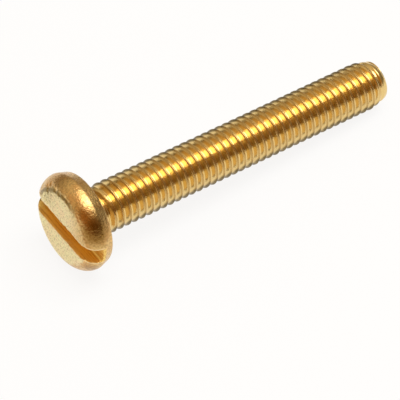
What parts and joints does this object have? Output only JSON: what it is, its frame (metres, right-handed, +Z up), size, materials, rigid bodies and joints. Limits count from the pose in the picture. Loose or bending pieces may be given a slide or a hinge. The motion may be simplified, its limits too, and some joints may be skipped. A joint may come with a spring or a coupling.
{
  "type": "slotted pan head machine screw",
  "caption": "Brass machine screw with a slotted pan head and a thread rolled to the head, lying on its side as it comes to rest.",
  "frame": {"origin": "on the surface the screw lies on, under the middle of its outline", "axes": "+X along the screw from head to tip, its axis dipping 4.1 degrees towards the tip, +Z up from the surface, +Y to the left of +X"},
  "size_m": [0.0272, 0.007, 0.007],
  "materials": {
    "brass": "bright drawn, cold headed and thread rolled"
  },
  "bodies": {
    "root": {"screw": "brass"}
  },
  "joints": []
}
